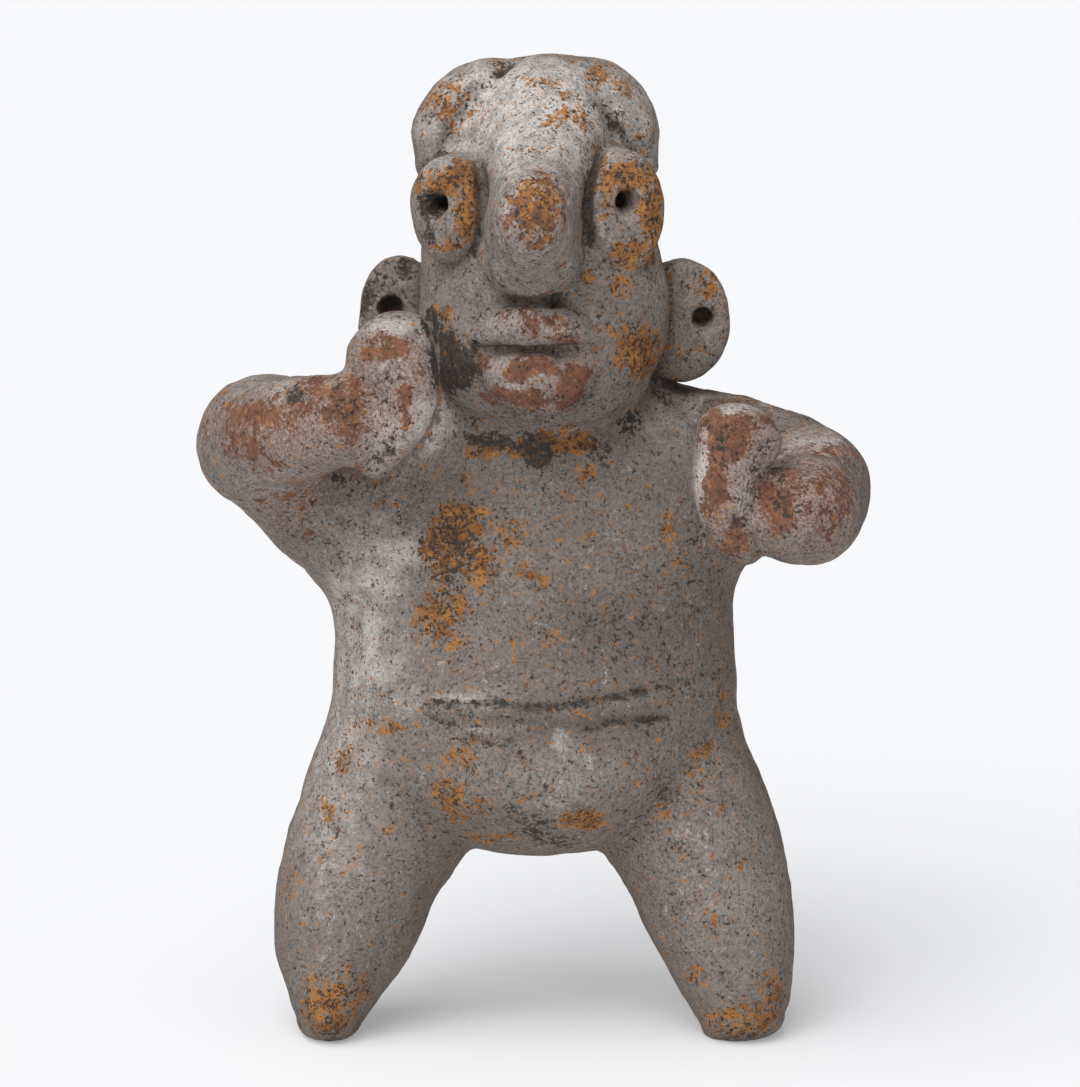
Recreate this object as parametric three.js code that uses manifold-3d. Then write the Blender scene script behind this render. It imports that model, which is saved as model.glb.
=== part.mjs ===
// A fired-clay whistle in the form of a standing figure, modelled by hand from rolls and pellets of clay.
// The hollow trunk is the sounding chamber. A spout low on the back holds the windway, and the sound window
// is cut through the back wall above it. Millimetres, +Z up, the figure faces -Y and stands on Z = 0.
import * as THREE from "three";
import { mergeVertices } from "three/addons/utils/BufferGeometryUtils.js";
import Module from "manifold-3d";

const wasm = await Module();
wasm.setup();

// Driving sizes in millimetres
const HEIGHT = 130;
const WALL = 7;
const SOLE_FLAT = 0.8;
const BELT_SCORE = 1.4;
const EYE_HOLE = { diameter: 3.2, depth: 5 };
const EAR_HOLE = { diameter: 2.8, depth: 3.2 };
const WINDOW = { width: 7.4, height: 5.2 };
const WINDWAY = { width: 6, height: 1.5 };

// Pose, proportions and carving are thousandths of the figure's height.
const SHARE = HEIGHT / 1000;

const FRONT = [0, -1, 0];
const UP = [0, 0, 1];
const CAP_RINGS = 3;
const PATH_SAMPLES = 6;
const CURVE = "catmullrom";
const LATHE_AXIS = new THREE.Vector3(0, 1, 0);
const HOLE_SIDES = 12;
const STICK_TAPER = 0.25;
const HALVINGS = 16;

const vector = (values) => new THREE.Vector3(...values);

// A roll of clay is an oval profile carried along a smooth path, with a rounded cap at each end.
// Its rows are [x, y, z, half width, half depth]. Depth is measured towards `facing`, width across it.
class Roll {
  constructor(rows, { facing = FRONT, caps, sides = 14, rings = 2, joint = 20 } = {}) {
    const sized = rows.map((row) => row.map((value) => value * SHARE));
    this.intervals = rows.length - 1;
    this.path = new THREE.CatmullRomCurve3(
      sized.map(([x, y, z]) => new THREE.Vector3(x, y, z)),
      false,
      CURVE,
    );
    this.girth = new THREE.CatmullRomCurve3(
      sized.map(([, , , wide, deep]) => new THREE.Vector3(wide, deep, 0)),
      false,
      CURVE,
    );
    this.facing = vector(facing);
    const ends = caps ?? [rows[0], rows.at(-1)].map((row) => (row[3] + row[4]) / 2);
    this.caps = ends.map((value) => value * SHARE);
    this.sides = sides;
    this.rings = rings;
    this.joint = joint * SHARE;
    const samples = this.intervals * PATH_SAMPLES;
    this.stations = Array.from({ length: samples + 1 }, (_, i) => this.station(i / samples));
  }

  // The centre, tangent, width and depth directions and half sizes at share t of the path.
  station(t) {
    const centre = this.path.getPoint(t);
    const tangent = this.path.getTangent(t);
    const depth = this.facing.clone().addScaledVector(tangent, -this.facing.dot(tangent)).normalize();
    const width = tangent.clone().cross(depth);
    const { x: wide, y: deep } = this.girth.getPoint(t);
    return { centre, tangent, width, depth, wide, deep };
  }

  // The roll's surface: a lathed capsule whose height runs 0 to 1 along the path and 1 past it in each cap.
  surface() {
    const profile = [];
    for (let i = 0; i <= CAP_RINGS; i++) {
      const angle = (i / CAP_RINGS) * (Math.PI / 2);
      profile.push(new THREE.Vector2(Math.sin(angle), -Math.cos(angle)));
    }
    const steps = this.intervals * this.rings;
    for (let i = 1; i < steps; i++) profile.push(new THREE.Vector2(1, i / steps));
    for (let i = 0; i <= CAP_RINGS; i++) {
      const angle = (i / CAP_RINGS) * (Math.PI / 2);
      profile.push(new THREE.Vector2(Math.cos(angle), 1 + Math.sin(angle)));
    }
    const lathe = welded(new THREE.LatheGeometry(profile, this.sides));
    const position = lathe.getAttribute("position");
    const point = new THREE.Vector3();
    for (let i = 0; i < position.count; i++) {
      const along = point.fromBufferAttribute(position, i).y;
      const { x: across, z: outward } = point;
      const { centre, tangent, width, depth, wide, deep } = this.station(THREE.MathUtils.clamp(along, 0, 1));
      const beyond = along < 0 ? along * this.caps[0] : Math.max(along - 1, 0) * this.caps[1];
      point.copy(centre).addScaledVector(tangent, beyond);
      point.addScaledVector(width, across * wide).addScaledVector(depth, outward * deep);
      position.setXYZ(i, ...point);
    }
    lathe.computeVertexNormals();
    return lathe;
  }

  // Signed distance from a point to the roll's surface, near enough for the soft joints.
  distance(point) {
    const offset = new THREE.Vector3();
    const step = new THREE.Vector3();
    let nearest = { gap: Infinity };
    for (let i = 1; i < this.stations.length; i++) {
      const [from, to] = [this.stations[i - 1], this.stations[i]];
      step.subVectors(to.centre, from.centre);
      const share = THREE.MathUtils.clamp(
        offset.subVectors(point, from.centre).dot(step) / step.lengthSq(), 0, 1,
      );
      const gap = offset.addScaledVector(step, -share).length();
      if (gap < nearest.gap) nearest = { gap, from, to, share, offset: offset.clone(), end: i };
    }
    const { gap, from, to, share } = nearest;
    const wide = THREE.MathUtils.lerp(from.wide, to.wide, share);
    const deep = THREE.MathUtils.lerp(from.deep, to.deep, share);
    const cap = this.caps[nearest.end * 2 > this.stations.length ? 1 : 0];
    const scaled = Math.hypot(
      nearest.offset.dot(from.width) / wide,
      nearest.offset.dot(from.depth) / deep,
      nearest.offset.dot(from.tangent) / cap,
    );
    return scaled > 0 ? gap * (1 - 1 / scaled) : -Math.min(wide, deep);
  }
}

function welded(geometry) {
  const bare = geometry.clone();
  bare.deleteAttribute("normal");
  bare.deleteAttribute("uv");
  return mergeVertices(bare, 1e-4);
}

function solid(geometry) {
  const merged = welded(geometry);
  return new wasm.Manifold(
    new wasm.Mesh({
      numProp: 3,
      vertProperties: merged.attributes.position.array,
      triVerts: new Uint32Array(merged.index.array),
    }),
  );
}

// How far clay smeared over a joint stands proud, for a point `gap` outside the other roll. It is a quarter
// of the joint's size on the crease, dies out one joint away, and falls off quickly inside the other roll.
function smear(gap, joint) {
  const away = gap / joint;
  const share = away > 0 ? Math.max(1 - away, 0) ** 2 : Math.max(1 + 3 * away, 0);
  return (share * joint) / 4;
}

// Joins the rolls in the order they were pressed on. Each later roll's own joint rounds the crease it makes.
function pressedTogether(rolls) {
  const point = new THREE.Vector3();
  const normal = new THREE.Vector3();
  return rolls
    .map((roll, order) => {
      const surface = roll.surface();
      const position = surface.getAttribute("position");
      const normals = surface.getAttribute("normal");
      for (let i = 0; i < position.count; i++) {
        point.fromBufferAttribute(position, i);
        normal.fromBufferAttribute(normals, i);
        const raised = rolls.map((other, place) =>
          other === roll ? 0 : smear(other.distance(point), (place > order ? other : roll).joint),
        );
        point.addScaledVector(normal, Math.max(...raised));
        position.setXYZ(i, ...point);
      }
      return solid(surface);
    })
    .reduce((whole, lump) => whole.add(lump));
}

// Trunk
const TRUNK_ROWS = [
  [-6, -26, 282, 172, 140],
  [-5, -16, 340, 200, 150],
  [-5, -4, 405, 202, 140],
  [-3, 0, 490, 198, 130],
  [0, 2, 570, 180, 120],
  [2, 0, 630, 138, 104],
];
const TRUNK_CAPS = [92, 60];
const trunk = new Roll(TRUNK_ROWS, { caps: TRUNK_CAPS, sides: 24 });

// Legs and feet. Each foot runs back under its leg, so that the figure stands on two long soles.
const legs = [
  new Roll([
    [-98, 5, 345, 102, 112],
    [-140, -4, 258, 94, 100],
    [-178, -14, 186, 83, 92],
    [-197, -24, 122, 76, 86],
    [-206, -31, 84, 66, 80],
    [-212, -42, 50, 48, 72],
    [-215, -50, 24, 32, 60],
  ], { caps: [90, 26], joint: 12, sides: 16 }),
  new Roll([
    [88, 5, 345, 102, 112],
    [129, -4, 258, 93, 100],
    [164, -14, 186, 84, 92],
    [184, -24, 122, 75, 86],
    [194, -31, 84, 67, 80],
    [201, -42, 50, 56, 72],
    [205, -51, 24, 44, 60],
  ], { caps: [90, 26], joint: 12, sides: 16 }),
];
const foot = (x, z, wide, tall) => new Roll([
  [x, -8, z, wide, tall],
  [x + 2, 20, z, wide, tall],
  [x + 3, 46, z, wide - 3, tall - 4],
], { facing: UP, caps: [24, 28], joint: 30, rings: 1 });
const feet = [foot(-213, 36, 30, 40), foot(204, 36, 42, 40)];

// Arms: thick at the shoulder, elbows out, forearms brought forward
const arms = [
  new Roll([
    [-90, 8, 548, 104, 104],
    [-176, 0, 556, 96, 98],
    [-234, -24, 586, 80, 80],
    [-272, -56, 614, 62, 62],
  ], { facing: UP, joint: 55 }),
  new Roll([
    [-272, -58, 618, 62, 60],
    [-260, -124, 634, 54, 52],
    [-224, -182, 650, 48, 49],
    [-192, -214, 660, 39, 44],
  ], { facing: UP, caps: [60, 36], joint: 30 }),
  new Roll([
    [90, 8, 562, 104, 98],
    [172, 0, 574, 86, 86],
    [226, -24, 574, 74, 73],
    [258, -58, 568, 64, 64],
  ], { facing: UP, joint: 55 }),
  new Roll([
    [260, -60, 566, 62, 62],
    [266, -118, 560, 56, 58],
    [258, -170, 562, 50, 52],
    [238, -200, 566, 42, 44],
  ], { facing: UP, caps: [60, 32], joint: 30 }),
];

// Hands: flattened lengths of clay stood across the ends of the forearms
const hands = [
  new Roll([
    [-147, -212, 730, 43, 33],
    [-130, -220, 699, 33, 29],
    [-127, -224, 672, 27, 26],
    [-138, -222, 646, 22, 24],
    [-160, -216, 614, 15, 17],
  ], { caps: [32, 12], joint: 22, sides: 12 }),
  new Roll([
    [191, -212, 642, 42, 32],
    [178, -220, 606, 34, 28],
    [179, -220, 574, 28, 26],
    [190, -214, 544, 20, 21],
    [201, -210, 528, 11, 13],
  ], { caps: [34, 12], joint: 22, sides: 12 }),
];

// Head. The ridge runs from the crown down to the nose, and the muzzle is the nose's blunt underside.
const neck = new Roll([
  [0, 14, 590, 118, 92],
  [0, -20, 660, 98, 84],
  [0, -45, 720, 90, 80],
], { joint: 50, sides: 16 });
const skull = new Roll([
  [2, -96, 692, 106, 82],
  [4, -80, 738, 124, 98],
  [0, -60, 796, 120, 104],
  [-4, -44, 850, 112, 100],
  [-5, -28, 908, 98, 86],
  [0, -16, 945, 76, 68],
], { caps: [56, 46], joint: 14, sides: 22 });
const ridge = new Roll([
  [15, 30, 950, 46, 46],
  [10, -50, 942, 58, 52],
  [0, -118, 908, 58, 48],
  [-5, -180, 880, 42, 40],
  [-7, -214, 868, 34, 34],
], { facing: UP, joint: 24 });
const snout = new Roll([
  [-6, -90, 842, 48, 66],
  [-7, -165, 840, 46, 60],
  [-7, -222, 852, 40, 48],
  [-7, -250, 860, 35, 39],
], { facing: UP, caps: [40, 28], joint: 20, sides: 16 });
const muzzle = new Roll([
  [-7, -100, 806, 50, 36],
  [-7, -165, 806, 46, 32],
  [-7, -196, 808, 38, 30],
], { facing: UP, caps: [30, 16], joint: 18, rings: 1 });

// Hair: a crescent lobe over each side of the crown
const hair = [
  new Roll([
    [-106, -48, 895, 20, 38],
    [-99, -38, 926, 30, 46],
    [-78, -22, 953, 32, 56],
    [-54, -10, 966, 29, 58],
    [-40, 0, 970, 23, 46],
  ], { caps: [20, 20], joint: 8, sides: 12 }),
  new Roll([
    [106, -48, 891, 12, 32],
    [95, -40, 916, 24, 44],
    [80, -26, 946, 30, 54],
    [56, -10, 965, 29, 56],
    [34, 0, 970, 24, 46],
  ], { caps: [10, 22], joint: 12, sides: 12 }),
];

// Ears: pinched discs standing on the sides of the head, each with a hole pushed in from the front
const EAR_TALL = 62;
const EAR_FRONT = -43;
const ear = (x, z, wide) => new Roll([
  [x, -30, z, wide, EAR_TALL],
  [x, -12, z, wide, EAR_TALL],
], { facing: UP, caps: [13, 13], joint: 12, sides: 18, rings: 1 });
const ears = [ear(-141, 738, 42), ear(141, 735, 48)];
const EAR_HOLES_AT = [[-149, 748], [163, 738]];

// Eyes: thick oval pellets with rounded edges, turned a little outwards, each with a punched hole.
// `hole` is how far the hole lies across and above the pellet's middle.
const EYE_EDGE = 24;
const EYE_ROOT = 20;
const EYES = [
  { at: [-84, -122, 858], wide: 38, tall: 52, thick: 40, turn: -22, hole: [-4, 4] },
  { at: [78, -122, 854], wide: 39, tall: 61, thick: 40, turn: 20, hole: [-4, 12] },
];
const gaze = ({ turn }) => vector(FRONT).applyAxisAngle(vector(UP), THREE.MathUtils.degToRad(turn));
const eyes = EYES.map((eye) => {
  const row = (reach) => [
    ...vector(eye.at).addScaledVector(gaze(eye), reach),
    eye.wide,
    eye.tall,
  ];
  const rows = [row(-EYE_ROOT), row(eye.thick - EYE_EDGE)];
  return new Roll(rows, { facing: UP, caps: [EYE_ROOT, EYE_EDGE], joint: 6, sides: 18, rings: 1 });
});

// Lips: two flattened strips laid on the face
const lips = [
  new Roll([
    [-60, -158, 733, 9, 12],
    [-30, -176, 746, 19, 15],
    [-5, -182, 749, 22, 16],
    [25, -177, 747, 19, 15],
    [54, -160, 735, 9, 12],
  ], { caps: [10, 10], joint: 5, sides: 12 }),
  new Roll([
    [-60, -150, 706, 9, 14],
    [-32, -170, 695, 26, 20],
    [-3, -178, 690, 32, 23],
    [28, -171, 693, 26, 20],
    [55, -152, 704, 10, 14],
  ], { caps: [10, 10], joint: 5, sides: 12 }),
];

// The blowing spout, low on the back and pointing down
const SPOUT_TIP = [0, 214, 262];
const SPOUT_ROOT = [0, 96, 352];
const spout = new Roll([
  [...SPOUT_ROOT, 56, 46],
  [0, 166, 310, 44, 34],
  [...SPOUT_TIP, 38, 26],
], { facing: UP, caps: [30, 8], joint: 26 });

// The hollow follows the trunk inside, one wall thickness in, and ends below the shoulders.
function chamberSolid() {
  const inset = WALL / SHARE;
  const rows = TRUNK_ROWS.slice(0, -1).map(([x, y, z, wide, deep]) => [x, y, z, wide - inset, deep - inset]);
  const caps = [Math.max(TRUNK_CAPS[0] - inset, 1), TRUNK_CAPS[1] / 2];
  return solid(new Roll(rows, { caps, sides: 20, rings: 1 }).surface());
}

// Where the trunk's surface stands at x and z, in millimetres: its back for side 1, its front for side -1.
function trunkSurface(x, z, side) {
  let [inside, outside] = [0, side * HEIGHT];
  for (let halving = 0; halving < HALVINGS; halving++) {
    const middle = (inside + outside) / 2;
    if (trunk.distance(new THREE.Vector3(x, middle, z)) > 0) outside = middle;
    else inside = middle;
  }
  return inside;
}

// The sound window is a square-cut hole through the back wall. The windway rises through the spout to its sill.
const SILL_HEIGHT = 372 * SHARE;
function whistleCuts() {
  const back = trunkSurface(0, SILL_HEIGHT, 1);
  const depth = 2 * WALL;
  const window = new THREE.BoxGeometry(WINDOW.width, depth, WINDOW.height);
  window.translate(0, back - WALL / 2, SILL_HEIGHT + WINDOW.height / 2);
  const tip = vector(SPOUT_TIP).multiplyScalar(SHARE);
  const sill = new THREE.Vector3(0, back - WINDWAY.height, SILL_HEIGHT);
  const run = tip.clone().sub(sill);
  const length = run.length() + 2 * spout.caps[1];
  const windway = new THREE.BoxGeometry(WINDWAY.width, length, WINDWAY.height);
  windway.translate(0, length / 2, 0);
  windway.applyQuaternion(new THREE.Quaternion().setFromUnitVectors(LATHE_AXIS, run.normalize()));
  windway.translate(sill.x, sill.y, sill.z);
  return [window, windway];
}

// Two shallow lines scored across the belly mark the top and bottom of a belt, as [x, z] along each line.
const BELT_LINES = [
  [[-112, 364], [-45, 369], [30, 367], [100, 376], [188, 392]],
  [[-110, 352], [-70, 336], [-25, 326], [40, 332], [125, 346]],
];
function beltGroove(line) {
  const score = BELT_SCORE / 2 / SHARE;
  const rows = line.map(([x, z]) => [x, trunkSurface(x * SHARE, z * SHARE, -1) / SHARE, z, score, score]);
  return new Roll(rows, { sides: 6, facing: UP }).surface();
}

// A hole left by a stick pushed into the surface at `at`, narrowing as it goes in.
function stickHole({ diameter, depth }, at, outward) {
  const [thick, thin] = [1 + STICK_TAPER, 1 - STICK_TAPER].map((share) => (share * diameter) / 2);
  const stick = new THREE.CylinderGeometry(thick, thin, 2 * depth, HOLE_SIDES);
  stick.applyQuaternion(new THREE.Quaternion().setFromUnitVectors(LATHE_AXIS, outward));
  return stick.translate(...at);
}

const eyeHoles = EYES.map((eye) => {
  const outward = gaze(eye);
  const [across, raised] = eye.hole;
  const at = vector(eye.at)
    .addScaledVector(outward, eye.thick)
    .add(new THREE.Vector3(-outward.y * across, outward.x * across, raised))
    .multiplyScalar(SHARE);
  return stickHole(EYE_HOLE, at, outward);
});
const earHoles = EAR_HOLES_AT.map(([x, z]) =>
  stickHole(EAR_HOLE, vector([x, EAR_FRONT, z]).multiplyScalar(SHARE), vector(FRONT)),
);

// The soles are worn flat, which sets the ground.
function ground() {
  const size = 4 * HEIGHT;
  return new THREE.BoxGeometry(size, size, size).translate(0, 0, SOLE_FLAT - size / 2);
}

const rolls = [trunk, ...legs, ...feet, ...arms, ...hands, neck, skull, ridge, snout, muzzle, ...hair, ...ears,
  ...eyes, ...lips, spout];
const cuts = [...whistleCuts(), ...BELT_LINES.map(beltGroove), ...eyeHoles, ...earHoles, ground()];
const carved = cuts.reduce(
  (body, cut) => body.subtract(solid(cut)),
  pressedTogether(rolls).subtract(chamberSolid()),
);

function meshOf(body) {
  const { numProp, numVert, vertProperties, triVerts } = body.getMesh();
  const positions = new Float32Array(numVert * 3);
  for (let i = 0; i < numVert; i++) positions.set(vertProperties.subarray(i * numProp, i * numProp + 3), i * 3);
  const geometry = new THREE.BufferGeometry();
  geometry.setAttribute("position", new THREE.BufferAttribute(positions, 3));
  geometry.setIndex(new THREE.BufferAttribute(new Uint32Array(triVerts), 1));
  return geometry;
}

const clay = new THREE.MeshStandardMaterial({ color: 0x968b86, roughness: 0.95, metalness: 0 });
const body = meshOf(carved);
body.computeVertexNormals();

// The origin is on the ground, under the middle of the figure's outline.
body.computeBoundingBox();
const middle = body.boundingBox.getCenter(new THREE.Vector3());
body.translate(-middle.x, -middle.y, -body.boundingBox.min.z);

const figure = new THREE.Mesh(body, clay);
figure.name = "whistle_figure";

const model = new THREE.Group();
model.add(figure);
export default model;
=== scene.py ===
"""The looks of a fired-clay whistle in the form of a standing figure, pinched and rolled from wet clay.

The sculptor's unit u is a thousandth of the figure's height. X is the viewer's right, the face looks along
-Y and Z is up, with the ground near Z = 0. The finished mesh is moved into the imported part's box, in metres.
"""
import math

import bpy
import numpy as np
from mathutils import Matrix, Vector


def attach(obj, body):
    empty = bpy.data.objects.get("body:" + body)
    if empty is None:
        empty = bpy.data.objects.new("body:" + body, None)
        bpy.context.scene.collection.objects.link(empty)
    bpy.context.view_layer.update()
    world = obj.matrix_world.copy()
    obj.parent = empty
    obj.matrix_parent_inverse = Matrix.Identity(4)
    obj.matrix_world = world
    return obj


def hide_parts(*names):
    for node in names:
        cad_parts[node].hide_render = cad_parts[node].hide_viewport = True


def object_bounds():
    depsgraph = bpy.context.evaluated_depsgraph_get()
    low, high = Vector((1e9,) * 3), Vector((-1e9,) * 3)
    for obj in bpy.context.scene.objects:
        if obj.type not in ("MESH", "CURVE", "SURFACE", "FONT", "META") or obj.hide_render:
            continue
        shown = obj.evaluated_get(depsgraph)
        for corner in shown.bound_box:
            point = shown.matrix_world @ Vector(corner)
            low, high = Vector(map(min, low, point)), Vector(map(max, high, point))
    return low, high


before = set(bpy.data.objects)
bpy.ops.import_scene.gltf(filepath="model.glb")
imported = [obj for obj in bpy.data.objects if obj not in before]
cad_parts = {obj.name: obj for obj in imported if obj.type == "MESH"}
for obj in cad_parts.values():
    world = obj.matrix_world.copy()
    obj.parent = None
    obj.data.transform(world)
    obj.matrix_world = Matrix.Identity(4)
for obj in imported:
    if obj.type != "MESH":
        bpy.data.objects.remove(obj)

cad_box = [list(corner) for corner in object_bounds()]

U = 0.130 / 1000
MM = 0.001 / U
FRONT = (0.0, -1.0, 0.0)
UP = (0.0, 0.0, 1.0)
RIGHT = (1.0, 0.0, 0.0)
# The field's value away from all clay, and the room left round a lump's box, in u
FAR = 60.0
MARGIN = 8


# Solids in wet clay

def smooth_min(a, b, joint):
    """The lesser of a and b, lowered by (joint - |a - b|)^2 / 4 joint where they are closer than joint."""
    reach = np.maximum(joint - np.abs(a - b), 0.0)
    return np.minimum(a, b) - reach * reach / (4.0 * joint)


def catmull_rom(rows, t):
    """Rows of numbers read at shares t of their length, on uniform Catmull-Rom curves with half tension.

    Between rows 1 and 2 the cubic starts along (row 2 - row 0) / 2 and ends along (row 3 - row 1) / 2.
    Past either end the row is the last step carried on.
    """
    rows = np.asarray(rows, float)
    padded = np.vstack([2 * rows[:1] - rows[1:2], rows, 2 * rows[-1:] - rows[-2:-1]])
    place = np.asarray(t, float) * (len(rows) - 1)
    first = np.clip(np.floor(place).astype(int), 0, len(rows) - 2)
    w = (place - first)[:, None]
    p0, p1, p2, p3 = (padded[first + i] for i in range(4))
    out, into = (p2 - p0) / 2, (p3 - p1) / 2
    square = 3 * (p2 - p1) - 2 * out - into
    cube = 2 * (p1 - p2) + out + into
    return p1 + out * w + square * w ** 2 + cube * w ** 3


class Roll:
    """A roll of clay: an oval carried along a smooth path, with a rounded cap at each end.

    Rows are x, y, z, half width, half depth, in u. Depth is measured towards facing, width across it.
    """

    def __init__(self, rows, facing=FRONT, caps=None, joint=20.0, samples=5, cut=False):
        path = catmull_rom(rows, np.linspace(0, 1, samples * (len(rows) - 1) + 1))
        self.centre, self.wide, self.deep = path[:, :3], path[:, 3], path[:, 4]
        tangent = np.gradient(self.centre, axis=0)
        self.tangent = tangent / np.linalg.norm(tangent, axis=1, keepdims=True)
        depth = np.asarray(facing) - self.tangent * (self.tangent @ np.asarray(facing))[:, None]
        self.depth = depth / np.linalg.norm(depth, axis=1, keepdims=True)
        self.width = np.cross(self.tangent, self.depth)
        ends = caps or [(row[3] + row[4]) / 2 for row in (rows[0], rows[-1])]
        self.caps = np.where(np.arange(len(path)) * 2 < len(path), ends[0], ends[1])
        self.joint, self.cut = joint, cut
        reach = max(self.wide.max(), self.deep.max(), *ends) + joint + MARGIN
        self.low, self.high = self.centre.min(0) - reach, self.centre.max(0) + reach

    def distance(self, points):
        """The gap to the path's nearest chord, times 1 - 1 / the offset in oval half sizes."""
        best = np.full(len(points), np.inf)
        scaled = np.ones(len(points))
        for i in range(len(self.centre) - 1):
            chord = self.centre[i + 1] - self.centre[i]
            offset = points - self.centre[i]
            share = np.clip(offset @ chord / (chord @ chord), 0, 1)
            offset -= share[:, None] * chord
            gap = np.einsum("ij,ij->i", offset, offset)
            nearer = gap < best
            offset, share = offset[nearer], share[nearer]
            wide = self.wide[i] + share * (self.wide[i + 1] - self.wide[i])
            deep = self.deep[i] + share * (self.deep[i + 1] - self.deep[i])
            best[nearer] = gap[nearer]
            scaled[nearer] = np.sqrt(
                (offset @ self.width[i] / wide) ** 2
                + (offset @ self.depth[i] / deep) ** 2
                + (offset @ self.tangent[i] / self.caps[i + 1]) ** 2)
        scaled = np.maximum(scaled, 1e-6)
        return np.where(scaled > 1e-3, np.sqrt(best) * (1 - 1 / scaled), -self.deep.min())


class Block:
    """A squared stick pushed through the clay: its centre, half sizes and the way its length points."""

    def __init__(self, centre, half, along=FRONT):
        along = np.asarray(along, float) / np.linalg.norm(along)
        side = np.cross(along, RIGHT)
        side /= np.linalg.norm(side)
        self.centre, self.half = np.asarray(centre, float), np.asarray(half, float)
        self.axes = np.array([RIGHT, along, side])
        self.joint, self.cut = 1.0, True
        reach = np.abs(self.axes.T) @ self.half + self.joint + MARGIN
        self.low, self.high = self.centre - reach, self.centre + reach

    def distance(self, points):
        """Distance to a box: the length of the offset past its faces, or the least depth inside."""
        past = np.abs((points - self.centre) @ self.axes.T) - self.half
        return np.linalg.norm(np.maximum(past, 0), axis=1) + np.minimum(past.max(1), 0)


STICK_TAPER = 0.8


def stick_hole(at, towards, radius, depth, soft, flare=1.25):
    """A hole left by a round stick pushed in at a point on the surface: it narrows as it goes in."""
    at, towards = np.asarray(at, float), np.asarray(towards, float) / np.linalg.norm(towards)
    reaches = [(-radius, flare), (0, flare), (depth / 2, 1), (depth, STICK_TAPER)]
    rows = [(*(at + towards * reach), radius * share, radius * share) for reach, share in reaches]
    facing = UP if abs(towards[2]) < 0.8 else FRONT
    return Roll(rows, facing=facing, caps=[radius, radius], joint=soft, samples=3, cut=True)


def press(field, lump, points):
    """Adds a lump to a field of distances, or cuts it out, with the lump's own joint."""
    gap = lump.distance(points)
    if lump.cut:
        return -smooth_min(-field, gap, lump.joint)
    return smooth_min(field, gap, lump.joint)


# The figure's own lumps, in the order they were pressed on

TRUNK = [
    (-6, -26, 282, 172, 140), (-5, -16, 340, 200, 150), (-5, -4, 405, 202, 140),
    (-3, 0, 490, 198, 130), (0, 2, 570, 180, 120), (2, 0, 630, 138, 104),
]
TRUNK_CAPS = [92, 60]
WALL = 7 * MM
SOLE = 0.8 * MM
EAR_THICK = 13
EAR_TALL = 124
EAR_FRONT = -43

# The whistle at the back: the spout's tip, the height of the windway's sill and its depth under the skin,
# the openings, and how far the windway's cut runs on past the tip, in u
SPOUT_TIP = np.array((0, 214, 262), float)
SILL = 372
SILL_DEPTH = 1.5 * MM
WINDOW_WIDE, WINDOW_TALL = 7.4 * MM, 5.2 * MM
WINDWAY_WIDE, WINDWAY_TALL = 6 * MM, 1.5 * MM
PAST_TIP = 16

# The holes: the stick's radius, and how deep it went in
STICK = 1.25 * MM
EYE_HOLE_DEEP = 5 * MM
EAR_HOLE_DEEP = 3.2 * MM


def leg(rows):
    """A leg is one roll that thins from the hip, and its long upper cap reaches up inside the trunk."""
    return Roll(rows, caps=[90, 26], joint=12)


def foot(x, z, wide, tall):
    """The foot runs back under the leg as a short roll lying along Y."""
    rows = [(x, -8, z, wide, tall), (x + 2, 20, z, wide, tall), (x + 3, 46, z, wide - 3, tall - 4)]
    return Roll(rows, facing=UP, caps=[24, 28], joint=30)


def limbs():
    """Two legs with their feet, and two arms of two rolls each that end in a hand with its wrist."""
    legs = [
        leg([(-98, 5, 345, 102, 112), (-140, -4, 258, 94, 100), (-178, -14, 186, 83, 92),
             (-197, -24, 122, 76, 86), (-206, -31, 84, 66, 80), (-212, -42, 50, 48, 72),
             (-215, -50, 24, 32, 60)]),
        leg([(88, 5, 345, 102, 112), (129, -4, 258, 93, 100), (164, -14, 186, 84, 92),
             (184, -24, 122, 75, 86), (194, -31, 84, 67, 80), (201, -42, 50, 56, 72),
             (205, -51, 24, 44, 60)]),
    ]
    arms = [
        Roll([(-90, 8, 548, 104, 104), (-176, 0, 556, 96, 98), (-234, -24, 586, 80, 80),
              (-272, -56, 614, 62, 62)], facing=UP, joint=55),
        Roll([(-272, -58, 618, 62, 60), (-260, -124, 634, 54, 52), (-224, -182, 650, 48, 49),
              (-192, -214, 660, 39, 44)], facing=UP, caps=[60, 36], joint=30),
        Roll([(90, 8, 562, 104, 98), (172, 0, 574, 86, 86), (226, -24, 574, 74, 73),
              (258, -58, 568, 64, 64)], facing=UP, joint=55),
        Roll([(260, -60, 566, 62, 62), (266, -118, 560, 56, 58), (258, -170, 562, 50, 52),
              (238, -200, 566, 42, 44)], facing=UP, caps=[60, 32], joint=30),
    ]
    hands = [
        Roll([(-147, -212, 730, 43, 33), (-130, -220, 699, 33, 29), (-127, -224, 672, 27, 26),
              (-138, -222, 646, 22, 24), (-160, -216, 614, 15, 17)], caps=[32, 12], joint=22),
        Roll([(191, -212, 642, 42, 32), (178, -220, 606, 34, 28), (179, -220, 574, 28, 26),
              (190, -214, 544, 20, 21), (201, -210, 528, 11, 13)], caps=[34, 12], joint=22),
    ]
    return [*legs, foot(-213, 36, 30, 40), foot(204, 36, 42, 40), *arms, *hands]


def ear(x, z, wide):
    """A pinched disc of clay standing on the side of the head: a short thick roll lying along Y."""
    rows = [(x, y, z, wide, EAR_TALL / 2) for y in (EAR_FRONT + EAR_THICK, -12)]
    return Roll(rows, facing=UP, caps=[EAR_THICK, EAR_THICK], joint=12)


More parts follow.
